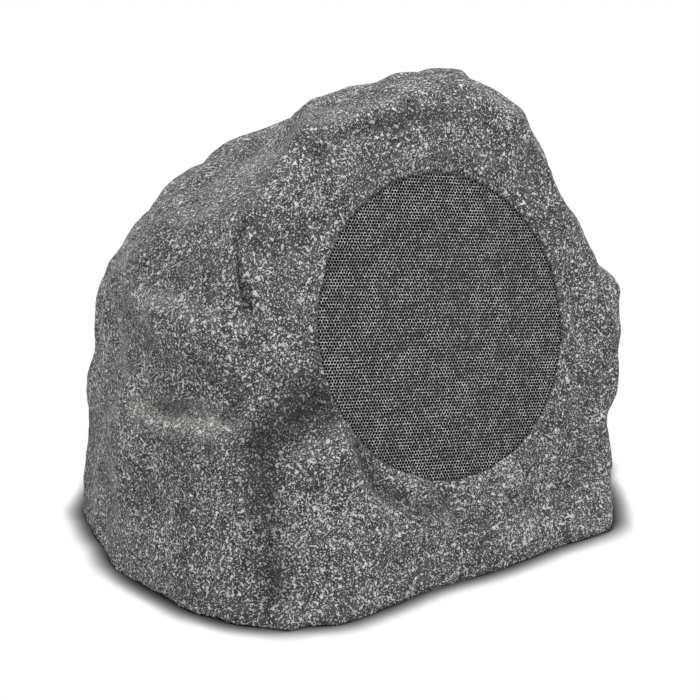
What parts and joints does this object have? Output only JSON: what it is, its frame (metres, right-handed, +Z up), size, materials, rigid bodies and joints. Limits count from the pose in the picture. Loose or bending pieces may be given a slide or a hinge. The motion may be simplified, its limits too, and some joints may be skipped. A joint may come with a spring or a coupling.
{
  "type": "rock shaped garden speaker",
  "caption": "Garden loudspeaker in a hollow moulded rock: round perforated grille in the leaning front, coaxial driver behind it, base plate with crossover, cable gland low at the back.",
  "frame": {"origin": "on the ground, under the middle of the rock's bounding box", "axes": "+Z up, the grille faces -Y and leans back, +X to the right of someone facing the grille"},
  "size_m": [0.3741, 0.294, 0.2961],
  "materials": {
    "granite_resin": "matt moulded resin with light granite specks",
    "grille_paint": "matt dark coat on perforated steel",
    "scrim_cloth": "thin black acoustic cloth",
    "seal_rubber": "soft black rubber",
    "basket_paint": "satin black coat",
    "cone_poly": "dark grey polypropylene",
    "cap_poly": "black, slightly glossy",
    "copper": "lacquered copper winding",
    "spider_cloth": "resin-stiffened ochre cloth",
    "plate_steel": "zinc-plated steel",
    "ferrite": "dark ground ferrite",
    "black_plastic": "fine-grained black moulding",
    "dome_silk": "coated silk",
    "screw_steel": "plain zinc-plated steel",
    "board_laminate": "green lacquered laminate",
    "film_wrap": "yellow film wrap",
    "ceramic": "white cement",
    "fibre": "brown fibre board",
    "lead_sheath": "soft two-core sheath"
  },
  "bodies": {
    "speaker": {"rock_shell": "granite_resin", "grille": "grille_paint", "grille_scrim": "scrim_cloth", "driver_gasket": "seal_rubber", "driver_basket": "basket_paint", "surround": "seal_rubber", "spider": "spider_cloth", "front_plate": "plate_steel", "magnet": "ferrite", "pole_yoke": "plate_steel", "tweeter_bridge": "black_plastic", "tweeter_body": "black_plastic", "tweeter_dome": "dome_silk", "driver_screws": "screw_steel", "bridge_screws": "screw_steel", "base_plate": "black_plastic", "base_gasket": "seal_rubber", "base_screws": "screw_steel", "crossover_board": "board_laminate", "board_screws": "screw_steel", "capacitors": "film_wrap", "inductors": "copper", "resistor": "ceramic", "terminal_block": "black_plastic", "tag_strip": "fibre", "driver_lead": "lead_sheath", "gland_washer": "seal_rubber", "gland_body": "black_plastic", "gland_seal": "seal_rubber", "gland_cap": "black_plastic", "gland_nut": "black_plastic"},
    "moving_cone": {"cone": "cone_poly", "dust_cap": "cap_poly", "voice_coil": "copper"}
  },
  "joints": [
    {"name": "cone_travel", "type": "slide", "parent": "speaker", "child": "moving_cone", "axis": [0, -0.9532, 0.3024], "range_m": [-0.003, 0.003], "stiffness_N_per_m": 1000, "deforming": ["surround", "spider"]}
  ]
}
